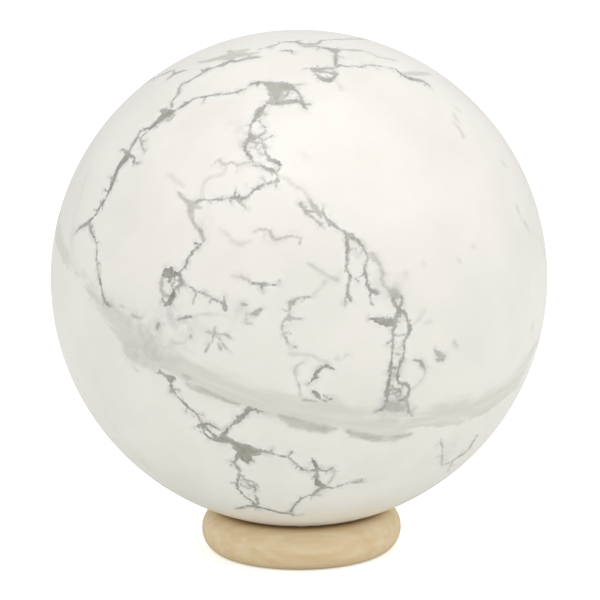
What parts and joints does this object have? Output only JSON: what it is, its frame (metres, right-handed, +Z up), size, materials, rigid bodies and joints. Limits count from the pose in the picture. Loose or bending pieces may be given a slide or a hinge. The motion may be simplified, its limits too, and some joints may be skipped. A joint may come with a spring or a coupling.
{
  "type": "decorative stone sphere on a ring stand",
  "caption": "Polished white stone sphere with fine grey veins, resting in the dished seat of a turned wooden ring stand.",
  "frame": {"origin": "on the surface that the ring stand stands on, straight under the sphere's centre", "axes": "+Z up, through the sphere's centre and along the ring's axis; -Y towards the side with the most veins"},
  "size_m": [0.15, 0.15, 0.159],
  "materials": {
    "stone": "polished white howlite with a network of fine grey veins and soft grey-beige clouds",
    "wood": "pale turned beech, sanded smooth, with a thin satin oil"
  },
  "bodies": {
    "root": {"sphere": "stone", "ring_stand": "wood"}
  },
  "joints": []
}
